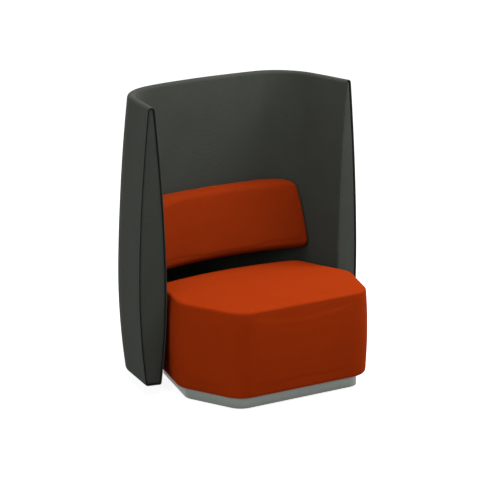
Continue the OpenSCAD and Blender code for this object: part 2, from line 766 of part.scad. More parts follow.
module screen_bolts() {
    inside = board_reach(carcass_in);
    color("silver") at_floor() {
        at_spacers(inside - screen_bolt_d * head_h_share, core_out, screen_bolt_d);
        at_spacers(inside - screen_bolt_d * head_h_share, inside, screen_bolt_d * bolt_head_share);
    }
}

module screen_tee_nuts() {
    color("silver") at_floor() difference() {
        union() {
            at_spacers(core_out - tee_barrel_l, core_out + tee_flange_t,
                screen_bolt_d * tee_barrel_share);
            at_spacers(core_out + hole_gap, core_out + tee_flange_t,
                screen_bolt_d * tee_flange_share);
        }
        at_spacers(core_in, core_out + screen_bolt_d, screen_bolt_d + 2 * hole_gap);
    }
}

// Where two circles meet, on the right of the line between their centres
function meeting(a, ra, b, rb) =
    let (l = norm(b - a), u = (b - a) / l, k = (ra * ra - rb * rb + l * l) / (2 * l))
    a + u * k - left(u) * sqrt(ra * ra - k * k);

// The lumbar cushion's plan at height z: its front this far off the screen's face, its ends
// drawn in by e and its rear by rear
function lumbar_ring(z, front, e, rear) =
    let (face = half_t(z) + lumbar_gap, o = [0, back_y - face - front - lumbar_bow_r],
         wall = screen_corner_r - face, r = min(lumbar_end_r, (front - e) * end_share),
         near = touch_centre(wing_tip + inward * (face + e), along, r, o, lumbar_bow_r, -1),
         straight = (near - corner_centre) * along < 0,
         c = straight ? near : meeting(o, lumbar_bow_r + r, corner_centre, wall - e - r),
         from = angle_of(c - o),
         to = straight ? wing_flare : angle_of(c - corner_centre),
         half = concat(
            [for (i = [0:3]) o + polar(lumbar_bow_r, mix(90, from, i / 4))],
            [for (i = [0:3]) c + polar(r, mix(from - half_turn, to, i / 3))],
            [for (i = [1:4]) corner_centre + polar(wall - mix(e, rear, i / 4), mix(to, bow_angle, i / 4))],
            [for (i = [1:4]) bow_centre + polar(back_bow_r - face - rear, mix(bow_angle, 90, i / 4))]),
         other = mirrored(half))
    lift(concat(half, [for (i = [1:len(other) - 2]) other[i]]), z);

// The front's depth at height z, before its soft edges
function lumbar_front(z) =
    let (s = (z - lumbar_bottom_z) / lumbar_h)
    mix(lumbar_bottom_d, lumbar_top_d, s) + lumbar_crown * 4 * s * (1 - s);

// Rings of the cushion at a depth t under its cloth, from the underside to the top
function lumbar_rings(t, rear) =
    let (foot_c = lumbar_bottom_z + lumbar_foot_r, top_c = lumbar_top_z - lumbar_top_r)
    concat(
        [for (a = [0, 30, 60]) let (z = foot_c - (lumbar_foot_r - t) * cos(a))
            lumbar_ring(z, lumbar_front(z) - lumbar_foot_r + (lumbar_foot_r - t) * sin(a),
                t + lumbar_side_r * (1 - sin(a)), rear)],
        [for (s = side_shares) let (z = mix(foot_c, top_c, s))
            lumbar_ring(z, lumbar_front(z) - t, t, rear)],
        [for (a = [60, 30, 0]) let (z = top_c + (lumbar_top_r - t) * cos(a))
            lumbar_ring(z, lumbar_front(z) - lumbar_top_r + (lumbar_top_r - t) * sin(a),
                t + lumbar_side_r * (1 - sin(a)), rear)]);
function lumbar_fold(z) =
    lumbar_ring(z, lumbar_front(lumbar_bottom_z) - lumbar_foot_r - lumbar_fold_w,
        lumbar_side_r + lumbar_fold_w, lumbar_fold_w);
function board_rear(z) = face_r(z) - skin_t - 2 * fit_gap;
function board_front(z) = board_rear(z) - lumbar_board_t;

module lumbar_board() {
    turn = asin(lumbar_board_x / back_bow_r);
    levels = [for (s = side_shares)
        mix(lumbar_bottom_z + skin_t + fit_gap, lumbar_top_z - skin_t - fit_gap, s)];
    color("burlywood") at_floor() difference() {
        translate(bow_centre) rotate(90 - turn) rotate_extrude(angle = 2 * turn, $fn = arc_fn)
            polygon(concat([for (z = levels) [board_rear(z), z]],
                reversed([for (z = levels) [board_front(z), z]])));
        at_sleeves(core_in - screen_t, core_in, lumbar_bolt_d * tee_barrel_share + 2 * hole_gap);
    }
}

module lumbar_foam() {
    color([0.95, 0.9, 0.74]) at_floor() difference() {
        ring_solid(lumbar_rings(skin_t, skin_t + lumbar_board_t + 3 * fit_gap));
        for (z = sleeve_heights) pair() radial(sleeve_turn, z, board_front(z) - lumbar_bolt_d,
            core_in, lumbar_bolt_d * tee_flange_share + over);
    }
}

module lumbar_cover() {
    color([0.55, 0.17, 0.04]) at_floor() difference() {
        bag(concat([lumbar_fold(lumbar_bottom_z)], lumbar_rings(0, 0)),
            concat([lumbar_fold(lumbar_bottom_z + cover_t)], lumbar_rings(cover_t, cover_t)));
        at_sleeves(core_in - screen_half_t - lumbar_board_t, core_in, sleeve_d + 2 * fit_gap);
    }
}

module lumbar_sleeves() {
    color("wheat") at_floor() difference() {
        for (z = sleeve_heights) pair()
            radial(sleeve_turn, z, board_rear(z) + 2 * fit_gap, core_in - fit_gap, sleeve_d);
        at_sleeves(core_in - screen_t, core_in + over, lumbar_bolt_d + over);
    }
}

module lumbar_bolts() {
    color("silver") at_floor() {
        for (z = sleeve_heights) pair()
            radial(sleeve_turn, z, board_front(z) - lumbar_bolt_d / 2,
                core_out + lumbar_bolt_d * head_h_share, lumbar_bolt_d);
        at_sleeves(core_out, core_out + lumbar_bolt_d * head_h_share, lumbar_bolt_d * bolt_head_share);
    }
}

module lumbar_tee_nuts() {
    color("silver") at_floor() difference() {
        for (z = sleeve_heights) pair() {
            radial(sleeve_turn, z, board_front(z) - 2 * fit_gap - tee_flange_t,
                board_front(z) - 2 * fit_gap, lumbar_bolt_d * tee_flange_share);
            radial(sleeve_turn, z, board_front(z) - 2 * fit_gap - tee_flange_t,
                board_front(z) + lumbar_board_t / 2, lumbar_bolt_d * tee_barrel_share);
        }
        at_sleeves(core_in - screen_t, core_in, lumbar_bolt_d + 2 * hole_gap);
    }
}

plinth_boards();
plinth_corner_blocks();
plinth_band();
plinth_screws();
glide_inserts();
glide_pad_front_left();
glide_pad_front_right();
glide_pad_rear_left();
glide_pad_rear_right();
glide_stud_front_left();
glide_stud_front_right();
glide_stud_rear_left();
glide_stud_rear_right();
seat_base_board();
seat_carcass_panels();
seat_corner_battens();
seat_webbing_straps();
seat_side_foam();
seat_top_foam();
seat_wadding();
seat_cover();
screen_core();
screen_outer_rail();
screen_inner_rail();
screen_outer_foam();
screen_inner_foam();
screen_cover();
end_panel_left();
end_panel_right();
end_welt_left();
end_welt_right();
screen_spacers();
screen_bolts();
screen_tee_nuts();
lumbar_board();
lumbar_foam();
lumbar_cover();
lumbar_sleeves();
lumbar_bolts();
lumbar_tee_nuts();
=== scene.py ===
"""High back lounge chair, dressed: a faceted seat block on a low plinth inside a padded screen.

Metres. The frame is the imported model's: the floor is Z = 0 and the sitter faces -Y.
"""
import math

import bmesh
import bpy
import numpy as np
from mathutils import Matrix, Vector


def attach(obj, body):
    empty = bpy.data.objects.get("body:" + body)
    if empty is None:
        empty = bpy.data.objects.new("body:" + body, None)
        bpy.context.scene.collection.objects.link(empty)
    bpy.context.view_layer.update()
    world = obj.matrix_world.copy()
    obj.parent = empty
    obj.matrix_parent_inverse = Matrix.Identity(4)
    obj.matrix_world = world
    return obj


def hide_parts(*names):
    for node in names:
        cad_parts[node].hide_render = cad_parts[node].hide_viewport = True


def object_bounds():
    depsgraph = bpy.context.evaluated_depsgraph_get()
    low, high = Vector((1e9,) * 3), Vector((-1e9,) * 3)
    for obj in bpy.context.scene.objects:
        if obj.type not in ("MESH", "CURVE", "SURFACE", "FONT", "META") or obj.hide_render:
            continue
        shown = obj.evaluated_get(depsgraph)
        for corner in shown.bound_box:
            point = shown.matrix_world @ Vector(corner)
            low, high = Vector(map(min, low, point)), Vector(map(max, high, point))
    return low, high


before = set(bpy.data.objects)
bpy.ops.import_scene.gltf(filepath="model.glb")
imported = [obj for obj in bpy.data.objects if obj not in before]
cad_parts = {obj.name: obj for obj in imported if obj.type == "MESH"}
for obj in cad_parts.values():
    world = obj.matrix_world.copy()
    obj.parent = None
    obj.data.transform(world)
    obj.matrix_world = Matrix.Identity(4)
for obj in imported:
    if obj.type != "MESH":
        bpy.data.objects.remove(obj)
cad_low, cad_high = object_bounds()

# Camera

CAMERA_AZIMUTH = math.radians(-33.957)
CAMERA_ELEVATION = math.radians(15.121)
CAMERA_DISTANCE = 13.39
CAMERA_LENS = 217.5
CAMERA_SENSOR = 36.0
CAMERA_TARGET = Vector((-0.0001, -0.0107, 0.5844))


def place_camera():
    """The photograph's view: a long lens, 34 degrees round to the left of the chair's front and 15
    degrees up."""
    data = bpy.data.cameras.new("camera")
    data.lens = CAMERA_LENS
    data.sensor_width = CAMERA_SENSOR
    camera = bpy.data.objects.new("camera", data)
    bpy.context.collection.objects.link(camera)
    flat = math.cos(CAMERA_ELEVATION)
    back = Vector((math.sin(CAMERA_AZIMUTH) * flat, -math.cos(CAMERA_AZIMUTH) * flat,
                   math.sin(CAMERA_ELEVATION)))
    camera.location = CAMERA_TARGET + back * CAMERA_DISTANCE
    camera.rotation_euler = back.to_track_quat("Z", "Y").to_euler()
    bpy.context.scene.camera = camera


place_camera()

# Sizes: depths along Y are measured from the seat's front edge, then moved by FRONT_Y

FRONT_Y = cad_low[1]
SEAT_FRONT_W = 0.696
SEAT_WIDE_Y = 0.315
SEAT_FLARE = math.radians(17)
SEAT_EDGE_Z = 0.448
SEAT_CROWN = 0.010
SEAT_BOTTOM_Z = 0.058
SEAT_BULGE = 0.007
SEAT_EDGE_R = 0.013
SEAT_FOOT_R = 0.018
SEAT_RADII = (0.118, 0.125, 0.076)
SEAT_LEAST_R = 0.004
SIDE_GAP = 0.015
REAR_GAP = 0.111
BASE_BOARD_IN = 0.031
FOLD_Z = 0.066
FOLD_LAP = 0.002

SCREEN_H = 1.296
SCREEN_BOTTOM_Z = 0.051
WING_TIP = np.array((0.519, 0.425))
WING_FLARE = math.radians(12.4)
SCREEN_CORNER_R = 0.220
BACK_BOW_R = 1.920
BACK_Y = 0.838
SCREEN_T = 0.130
SCREEN_THICK_Z = 0.480
SCREEN_TOP_T = 0.035
SCREEN_FOOT_T = 0.072
SCREEN_FOOT_R = 0.010
TAPER_UP = 1.72
TAPER_DOWN = 2.0

LUMBAR_BOTTOM_Z = 0.504
LUMBAR_TOP_Z = 0.805
LUMBAR_TOP_D = 0.075
LUMBAR_BOTTOM_D = 0.152
LUMBAR_BOW_R = 1.407
LUMBAR_TOP_R = 0.025
LUMBAR_FOOT_R = 0.038
LUMBAR_END_R = 0.020
LUMBAR_SIDE_R = 0.014
LUMBAR_CROWN = 0.005
LUMBAR_GAP = 0.001
LUMBAR_END_SHARE = 0.4

PLINTH_INSET = 0.048
PLINTH_REACH = 0.070
PLINTH_BAND_T = 0.0015
PLINTH_Z0 = 0.004
PLINTH_Z1 = 0.0577
PLINTH_EASE = 0.0004

LIP_R = 0.0013
WELT_R = 0.0027
WELT_INSET = 0.0052
WELT_DEPTH = 0.0055
PANEL_INSET = 0.0083
PANEL_DEPTH = 0.0045
PANEL_EDGE_R = 0.004
PANEL_BACK = 0.0145
PANEL_CROWN = 0.0015

RIPPLE_SIZE = 0.30
RIPPLE_SPREAD = (0.6, 1.4)
RIPPLE_H = 0.0006
RIPPLE_SEED = 3
RIPPLE_WAVES = 8
RIPPLE_FADE = 6

VOXEL = 0.006
SEAT_SWELL = 0.0016
SEAT_HOLD_Z = 0.075
SEAT_HOLD_REACH = 0.04
LUMBAR_SWELL = 0.0025
LUMBAR_HOLD_GAP = 0.01
LUMBAR_HOLD_REACH = 0.03
AIR = {"use_pressure": True, "uniform_pressure_force": 4.0, "quality": 4, "mass": 0.3,
       "tension_stiffness": 12, "compression_stiffness": 12, "bending_stiffness": 0.5}
AIR_FRAMES = 20
MERGE = 2e-6

# How many rings or points a part of a shape gets

LIP_RINGS = 9
PANEL_RIM_RINGS = 7
PANEL_CROWN_RINGS = 15
WELT_POINTS = 10
SEAT_CORNER_POINTS = (20, 20, 20, 40, 20, 20, 20)
SEAT_FOLD_RINGS = 8
SEAT_ROUND_RINGS = 9
SEAT_SIDE_RINGS = 26
SEAT_CROWN_RINGS = 26
LUMBAR_ROUND_RINGS = 13
LUMBAR_SIDE_RINGS = 34
LUMBAR_FRONT_POINTS = 40
LUMBAR_END_POINTS = 14
LUMBAR_WALL_POINTS = 25
LUMBAR_REAR_POINTS = 30

ALONG = np.array((-math.sin(WING_FLARE), math.cos(WING_FLARE)))
INWARD = np.array((-math.cos(WING_FLARE), -math.sin(WING_FLARE)))
BOW_CENTRE = np.array((0.0, BACK_Y - BACK_BOW_R))
HALF_T = SCREEN_T / 2


# Plan geometry

def unit(v):
    return v / np.linalg.norm(v)


def angle_of(v):
    return math.atan2(v[1], v[0])


def polar(radius, angle):
    """Points at a distance and at angles from the origin, one row each."""
    return np.stack((radius * np.cos(angle), radius * np.sin(angle)), -1)


def touch_centre(place, run, radius, middle, bow_r, side):
    """Centre of the rounding between a line through place in direction run and the bow about
    middle: it lies radius to the line's left, and radius in front of the bow (side 1) or behind
    it (side -1)."""
    q = place + np.array((-run[1], run[0])) * radius - middle
    b = q @ run
    return q + run * (math.sqrt(b * b - q @ q + (bow_r - side * radius) ** 2) - b) + middle


CORNER_CENTRE = touch_centre(WING_TIP, ALONG, SCREEN_CORNER_R, BOW_CENTRE, BACK_BOW_R, 1)
BOW_ANGLE = angle_of(CORNER_CENTRE - BOW_CENTRE)
WING_L = (CORNER_CENTRE - WING_TIP) @ ALONG


def mirrored(points):
    """The same points on the chair's other side, in reverse order."""
    return points[::-1] * np.array((-1.0, 1.0))


def screen_plan(skip, wing_n=56, corner_n=64, bow_n=56):
    """Middle line of the screen from skip behind the right wing's end to the same place on the
    left: straight wing, round corner, bow, and the mirror image. Gives places and normals."""
    wing = np.linspace(skip, WING_L, wing_n)[:-1]
    corner = polar(1.0, np.linspace(WING_FLARE, BOW_ANGLE, corner_n))[:-1]
    bow = polar(1.0, np.linspace(BOW_ANGLE, math.pi / 2, bow_n))
    right = np.concatenate((WING_TIP + wing[:, None] * ALONG,
                            CORNER_CENTRE + SCREEN_CORNER_R * corner,
                            BOW_CENTRE + BACK_BOW_R * bow))
    normals = np.concatenate((np.tile(-INWARD, (len(wing), 1)), corner, bow))
    return (np.concatenate((right, mirrored(right)[1:])),
            np.concatenate((normals, mirrored(normals)[1:])))


def half_t(z):
    """Half the screen's thickness at height z: full at SCREEN_THICK_Z, less above and below it."""
    top = SCREEN_H - SCREEN_TOP_T / 2
    up = np.maximum(z - SCREEN_THICK_Z, 0.0) / (top - SCREEN_THICK_Z)
    down = np.maximum(SCREEN_THICK_Z - z, 0.0) / (SCREEN_THICK_Z - SCREEN_BOTTOM_Z)
    return (HALF_T - (HALF_T - SCREEN_TOP_T / 2) * up ** TAPER_UP
            - (HALF_T - SCREEN_FOOT_T / 2) * down ** TAPER_DOWN)


def screen_profile(side_n=66, top_n=22, foot_n=8, base_n=5):
    """Closed section of the screen as offset and height, anticlockwise from the underside's middle:
    rounded foot, outer side, rounded top that continues the side's slope, then the mirror image.
    Gives the points and their outward normals."""
    lean = math.atan((HALF_T - SCREEN_TOP_T / 2) * TAPER_UP / (SCREEN_H - SCREEN_THICK_Z))
    top_r = SCREEN_TOP_T / 2 / math.cos(lean)
    join = SCREEN_H - top_r * (1 - math.sin(lean))
    foot_z = SCREEN_BOTTOM_Z + SCREEN_FOOT_R
    foot_x = float(half_t(foot_z)) - SCREEN_FOOT_R
    base = np.stack((np.linspace(0, foot_x, base_n), np.full(base_n, SCREEN_BOTTOM_Z)), -1)[:-1]
    foot = (foot_x, foot_z) + polar(SCREEN_FOOT_R, np.linspace(-math.pi / 2, 0, foot_n))
    z = np.linspace(foot_z, join, side_n)[1:]
    side = np.stack((half_t(z), z), -1)
    top = np.array((0, SCREEN_H - top_r)) + polar(top_r, np.linspace(lean, math.pi / 2, top_n))[1:]
    top[:, 0] *= side[-1, 0] / (top_r * math.cos(lean))
    right = np.concatenate((base, foot, side, top))
    points = np.concatenate((right, mirrored(right)[1:-1]))
    run = np.roll(points, -1, 0) - np.roll(points, 1, 0)
    normals = np.stack((run[:, 1], -run[:, 0]), -1)
    return points, normals / np.linalg.norm(normals, axis=1)[:, None]


PROFILE, PROFILE_N = screen_profile()


def ring_at(place, normal, section):
    """A section of offsets and heights stood up at a place in plan, across its normal."""
    flat = place + section[:, :1] * normal
    return np.column_stack((flat[:, 0], flat[:, 1] + FRONT_Y, section[:, 1]))


def wing_ring(behind, inset, share=0.0):
    """The screen's section, drawn in by inset, at a distance behind the right wing's end. A share
    of 1 draws it together into the line up its middle."""
    section = PROFILE - PROFILE_N * inset
    low, high = SCREEN_BOTTOM_Z + SCREEN_FOOT_T / 2, SCREEN_H - SCREEN_TOP_T / 2
    middle = np.stack((np.zeros(len(section)), np.clip(section[:, 1], low, high)), -1)
    return ring_at(WING_TIP + ALONG * behind, -INWARD, section + (middle - section) * share)


def ripple(points):
    """A smooth random swell: twice the mean of a few sine waves in seeded directions, about
    RIPPLE_SIZE apart."""
    rng = np.random.default_rng(RIPPLE_SEED)
    turns = rng.normal(size=(RIPPLE_WAVES, 3))
    pitch = 2 * math.pi / RIPPLE_SIZE / np.linalg.norm(turns, axis=1)
    turns *= (pitch * rng.uniform(*RIPPLE_SPREAD, RIPPLE_WAVES))[:, None]
    starts = rng.uniform(0, 2 * math.pi, RIPPLE_WAVES)
    return RIPPLE_H * np.sin(points @ turns.T + starts).mean(-1) * 2


# Meshes

def grid_faces(m, n, close_rows=False):
    """Four-sided faces of a grid: m rings of n points, each ring closed on itself."""
    rows = np.arange(m if close_rows else m - 1)[:, None]
    columns = np.arange(n)[None, :]
    after, beside = (rows + 1) % m, (columns + 1) % n
    return np.stack((rows * n + columns, rows * n + beside, after * n + beside,
                     after * n + columns), -1).reshape(-1, 4).tolist()


def piece_of(name, rings, faces):
    """A piece from rings of points and faces, its doubles merged and its faces turned outwards."""
    mesh = bpy.data.meshes.new(name)
    mesh.from_pydata(rings.reshape(-1, 3).tolist(), [], faces)
    return tidy(bpy.data.objects.new(name, mesh))


def surface(name, rings, close_rows=False):
    """A grid surface: each ring closes on itself and the rings follow one another."""
    return piece_of(name, rings, grid_faces(*rings.shape[:2], close_rows))


def smooth(piece):
    piece.data.polygons.foreach_set("use_smooth", np.ones(len(piece.data.polygons), bool))
    piece.data.update()
    return piece


def tidy(piece):
    """Links a piece, merges doubled points, drops empty faces, turns faces out and smooths them."""
    bpy.context.collection.objects.link(piece)
    work = bmesh.new()
    work.from_mesh(piece.data)
    bmesh.ops.remove_doubles(work, verts=work.verts, dist=MERGE)
    bmesh.ops.dissolve_degenerate(work, edges=work.edges, dist=MERGE)
    bmesh.ops.recalc_face_normals(work, faces=work.faces)
    work.to_mesh(piece.data)
    work.free()
    return smooth(piece)


def mirror_copy(piece, name):
    """The piece on the chair's other side, its faces turned out again."""
    mesh = piece.data.copy()
    mesh.vertices.foreach_set("co", (points_of(mesh) * (-1, 1, 1)).ravel())
    return tidy(bpy.data.objects.new(name, mesh))


def points_of(mesh):
    co = np.empty(len(mesh.vertices) * 3)
    mesh.vertices.foreach_get("co", co)
    return co.reshape(-1, 3)


def normals_of(mesh):
    normals = np.empty(len(mesh.vertices) * 3)
    mesh.vertices.foreach_get("normal", normals)
    return normals.reshape(-1, 3)


def dress(piece, material, slot, *replaced):
    """Gives a piece its material and the chair's body, and hides the nodes it stands for. The slot
    is not used.
    """
    piece.data.materials.clear()
    piece.data.materials.append(material)
    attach(piece, "chair")
    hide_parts(*replaced)
    return piece


def modified(piece, name, kind, **settings):
    """Adds a modifier, sets it up and applies it."""
    modifier = piece.modifiers.new(name, kind)
    for key, value in settings.items():
        setattr(modifier, key, value)
    graph = bpy.context.evaluated_depsgraph_get()
    mesh = bpy.data.meshes.new_from_object(piece.evaluated_get(graph), depsgraph=graph)
    piece.modifiers.clear()
    piece.data = mesh
    return piece


# Shader node groups, each built once

# How dark or light a pattern makes the colour, and each layer's share of the tone, the height or
# the roughness
DARK_FIBRE = (0.55, 0.55, 0.55, 1)
LIGHT_FIBRE = (1.45, 1.45, 1.45, 1)
CELL_SHADE = (0.72, 0.70, 0.64, 1)
STREAK_SHADE = (0.80, 0.80, 0.80, 1)
THREAD_TONE, FIBRE_TONE, HEATHER_TONE, BROAD_TONE = 0.05, 0.55, 0.9, 0.22
THREAD_HEIGHT = 0.35
HEATHER_ROUGH, CLOTH_ROUGH = 0.12, 0.82
RING_TONE, PORE_TONE = 0.7, 0.35
PORE_ROUGH, WOOD_ROUGH = 0.2, 0.55
CELL_TONE, SPONGE_TONE = 0.45, 0.35
STREAK_ROUGH, SMUDGE_ROUGH = 0.14, 0.16


class Tree:
    """A short way to add nodes to a node tree and link them."""

    def __init__(self, tree):
        self.tree = tree

    def add(self, kind, inputs=(), **settings):
        new = self.tree.nodes.new(kind)
        for key, value in settings.items():
            setattr(new, key, value)
        for key, value in dict(inputs).items():
            if isinstance(value, bpy.types.NodeSocket):
                self.tree.links.new(value, new.inputs[key])
            else:
                new.inputs[key].default_value = value
        return new

    def maths(self, operation, a, b=0.0):
        return self.add("ShaderNodeMath", {0: a, 1: b}, operation=operation).outputs[0]

    def scaled(self, value, factor, base):
        """value times factor, plus base."""
        return self.maths("ADD", self.maths("MULTIPLY", value, factor), base)

    def noise(self, vector, scale, detail=2.0, roughness=0.5):
        return self.add("ShaderNodeTexNoise", {"Vector": vector, "Scale": scale, "Detail": detail,
                                               "Roughness": roughness}).outputs["Fac"]

    def stretched(self, vector, scale):
        return self.add("ShaderNodeMapping", {"Vector": vector, "Scale": scale}).outputs[0]

    def ramp(self, value, start, end, **settings):
        """value carried from start to end, each an input and its output, and held outside them."""
        return self.add("ShaderNodeMapRange",
                        {"Value": value, "From Min": start[0], "From Max": end[0],
                         "To Min": start[1], "To Max": end[1]}, **settings).outputs["Result"]

    def mix(self, fac, a, b, blend="MIX"):
        new = self.add("ShaderNodeMix", data_type="RGBA", blend_type=blend)
        for socket, value in ((new.inputs[0], fac), (new.inputs[6], a), (new.inputs[7], b)):
            if isinstance(value, bpy.types.NodeSocket):
                self.tree.links.new(value, socket)
            else:
                socket.default_value = value
        return new.outputs[2]


def group(name, inputs, outputs, build):
    """A shader node group with named sockets; build fills it and gives its outputs."""
    tree = bpy.data.node_groups.new(name, "ShaderNodeTree")
    for kind, pairs in (("INPUT", inputs), ("OUTPUT", outputs)):
        for key, socket in pairs:
            tree.interface.new_socket(key, in_out=kind, socket_type=socket)
    t = Tree(tree)
    given = t.add("NodeGroupInput").outputs
    end = t.add("NodeGroupOutput")
    for key, value in build(t, given).items():
        tree.links.new(value, end.inputs[key])
    return tree


def build_woven(t, given):
    """Wool cloth: threads both ways on a fine pitch, fibres, a heathered tone and a broad one."""
    place = t.add("ShaderNodeTexCoord").outputs["Object"]
    axes = t.add("ShaderNodeSeparateXYZ", {0: place}).outputs
    waves = [t.maths("SINE", t.maths("MULTIPLY", axes[i], given["Threads"])) for i in range(3)]
    threads = t.scaled(waves[0], waves[2], t.maths("MULTIPLY", waves[1], 0.5))
    fibres = t.noise(place, scale=1400.0, detail=2.0, roughness=0.7)
    heather = t.noise(place, scale=330.0, detail=3.0, roughness=0.65)
    broad = t.noise(place, scale=7.0)
    tone = t.maths("MULTIPLY", threads, THREAD_TONE)
    for layer, share in ((fibres, FIBRE_TONE), (heather, HEATHER_TONE), (broad, BROAD_TONE)):
        tone = t.scaled(t.maths("SUBTRACT", layer, 0.5), share, tone)
    tone = t.scaled(tone, given["Contrast"], 0.5)
    dark = t.mix(1.0, given["Colour"], DARK_FIBRE, "MULTIPLY")
    light = t.mix(1.0, given["Colour"], LIGHT_FIBRE, "MULTIPLY")
    return {"Colour": t.mix(tone, dark, light), "Height": t.scaled(threads, THREAD_HEIGHT, fibres),
            "Roughness": t.scaled(heather, HEATHER_ROUGH, CLOTH_ROUGH)}


def build_grain(t, given):
    """Wood: noise stretched across the chair bends a band pattern, with fine pores along it."""
    place = t.add("ShaderNodeTexCoord").outputs["Object"]
    long = t.stretched(place, (2.0, 24.0, 24.0))
    bend = t.noise(long, scale=2.2, detail=3.0, roughness=0.6)
    bands = t.maths("FRACT", t.maths("MULTIPLY", bend, given["Rings"]))
    fine = t.stretched(place, (30.0, 700.0, 700.0))
    pores = t.noise(fine, scale=1.5, detail=2.0, roughness=0.7)
    tone = t.scaled(bands, RING_TONE, t.maths("MULTIPLY", pores, PORE_TONE))
    return {"Colour": t.mix(tone, given["Dark"], given["Light"]), "Height": pores,
            "Roughness": t.scaled(pores, PORE_ROUGH, WOOD_ROUGH)}


def build_foam(t, given):
    """Open cells: a fine cell pattern over a soft change of tone."""
    place = t.add("ShaderNodeTexCoord").outputs["Object"]
    cells = t.add("ShaderNodeTexVoronoi",
                  {"Vector": place, "Scale": given["Cells"]}).outputs["Distance"]
    broad = t.noise(place, scale=9.0)
    tone = t.scaled(cells, CELL_TONE, t.maths("MULTIPLY", broad, SPONGE_TONE))
    dark = t.mix(1.0, given["Colour"], CELL_SHADE, "MULTIPLY")
    return {"Colour": t.mix(tone, dark, given["Colour"]), "Height": cells}


def build_brushed(t, given):
    """Brushed metal look: long level streaks, fine scratches and faint smudges."""
    place = t.add("ShaderNodeTexCoord").outputs["Object"]
    level = t.stretched(place, (3.0, 3.0, 420.0))
    streaks = t.noise(level, scale=2.5, detail=4.0, roughness=0.75)
    smudges = t.noise(place, scale=11.0, detail=3.0)
    tone = t.ramp(streaks, (0.25, 0.0), (0.75, 1.0))
    dark = t.mix(1.0, given["Colour"], STREAK_SHADE, "MULTIPLY")
    rough = t.scaled(streaks, STREAK_ROUGH, t.maths("MULTIPLY", smudges, SMUDGE_ROUGH))
    return {"Colour": t.mix(tone, dark, given["Colour"]), "Height": streaks,
            "Roughness": t.maths("ADD", rough, given["Base Roughness"])}


COLOUR, FLOAT = "NodeSocketColor", "NodeSocketFloat"
WOVEN = group("woven_cloth", [("Colour", COLOUR), ("Threads", FLOAT), ("Contrast", FLOAT)],
              [("Colour", COLOUR), ("Height", FLOAT), ("Roughness", FLOAT)], build_woven)
GRAIN = group("wood_grain", [("Light", COLOUR), ("Dark", COLOUR), ("Rings", FLOAT)],
              [("Colour", COLOUR), ("Height", FLOAT), ("Roughness", FLOAT)], build_grain)
FOAM = group("open_foam", [("Colour", COLOUR), ("Cells", FLOAT)],
             [("Colour", COLOUR), ("Height", FLOAT)], build_foam)
BRUSHED = group("brushed_metal", [("Colour", COLOUR), ("Base Roughness", FLOAT)],
                [("Colour", COLOUR), ("Height", FLOAT), ("Roughness", FLOAT)], build_brushed)


def material(name, effect, values, shader=(), bump=0.4, relief=0.0004, bounce=None):
    """A Principled material fed by one of the groups; shader holds its plain values. The colour in
    bounce, where given, is what the surface lends to its neighbours, so that it tints them less."""
    made = bpy.data.materials.new(name)
    made.use_nodes = True
    t = Tree(made.node_tree)
    made.node_tree.nodes.clear()
    looks = t.add("ShaderNodeGroup", node_tree=effect)
    for key, value in values.items():
        looks.inputs[key].default_value = value
    raised = t.add("ShaderNodeBump", {"Strength": bump, "Distance": relief,
                                      "Height": looks.outputs["Height"]})
    colour = looks.outputs["Colour"]
    if bounce:
        colour = t.mix(t.add("ShaderNodeLightPath").outputs["Is Diffuse Ray"], colour, bounce)
    body = t.add("ShaderNodeBsdfPrincipled", {"Base Color": colour, "Normal": raised.outputs[0],
                                              **dict(shader)})
    if "Roughness" in looks.outputs:
        made.node_tree.links.new(looks.outputs["Roughness"], body.inputs["Roughness"])
    out = t.add("ShaderNodeOutputMaterial")
    made.node_tree.links.new(body.outputs[0], out.inputs["Surface"])
    return made


def srgb(r, g, b):
    """A colour given as it shows on a screen, 0 to 255, as a linear one."""
    c = np.array((r, g, b)) / 255
    c = np.where(c <= 0.04045, c / 12.92, ((c + 0.055) / 1.055) ** 2.4)
    return (*c.tolist(), 1.0)


CLOTH = {"Sheen Weight": 0.08, "Sheen Roughness": 0.5, "Specular IOR Level": 0.1}
ORANGE_CLOTH = {"Sheen Weight": 0.05, "Sheen Roughness": 0.5, "Sheen Tint": (1.0, 0.3, 0.06, 1.0),
                "Specular IOR Level": 0.02}
THREADS = 2 * math.pi / 0.0016
STRAP_THREADS = 2 * math.pi / 0.003
ORANGE_BOUNCE = srgb(104, 66, 54)
SOLID_METAL = {"Metallic": 1.0}


def cloth(name, colour, contrast, shader=CLOTH, threads=THREADS, **rest):
    return material(name, WOVEN, {"Colour": colour, "Threads": threads, "Contrast": contrast},
                    shader, **rest)


def wood(name, light, dark, rings):
    return material(name, GRAIN, {"Light": light, "Dark": dark, "Rings": rings})


def foam(name, colour, cells, shader, **rest):
    return material(name, FOAM, {"Colour": colour, "Cells": cells}, shader, **rest)


def metal(name, colour, roughness, shader, **rest):
    return material(name, BRUSHED, {"Colour": colour, "Base Roughness": roughness}, shader,
                    **rest)


SCREEN_CLOTH = cloth("screen_cloth", srgb(80, 83, 76), 1.0)
# Seat and lumbar are one orange cloth given as a lit and a shaded copy: the seat's colour is
# painted lighter for its lit top, and the lumbar's is painted darker for its shade inside the
# screen.
SEAT_CLOTH_PAINTED_LIGHTER = cloth("seat_cloth", srgb(194, 63, 16), 0.55, ORANGE_CLOTH, bounce=ORANGE_BOUNCE)
LUMBAR_CLOTH_PAINTED_DARKER = cloth("lumbar_cloth", srgb(172, 57, 16), 0.6, ORANGE_CLOTH, bounce=ORANGE_BOUNCE)
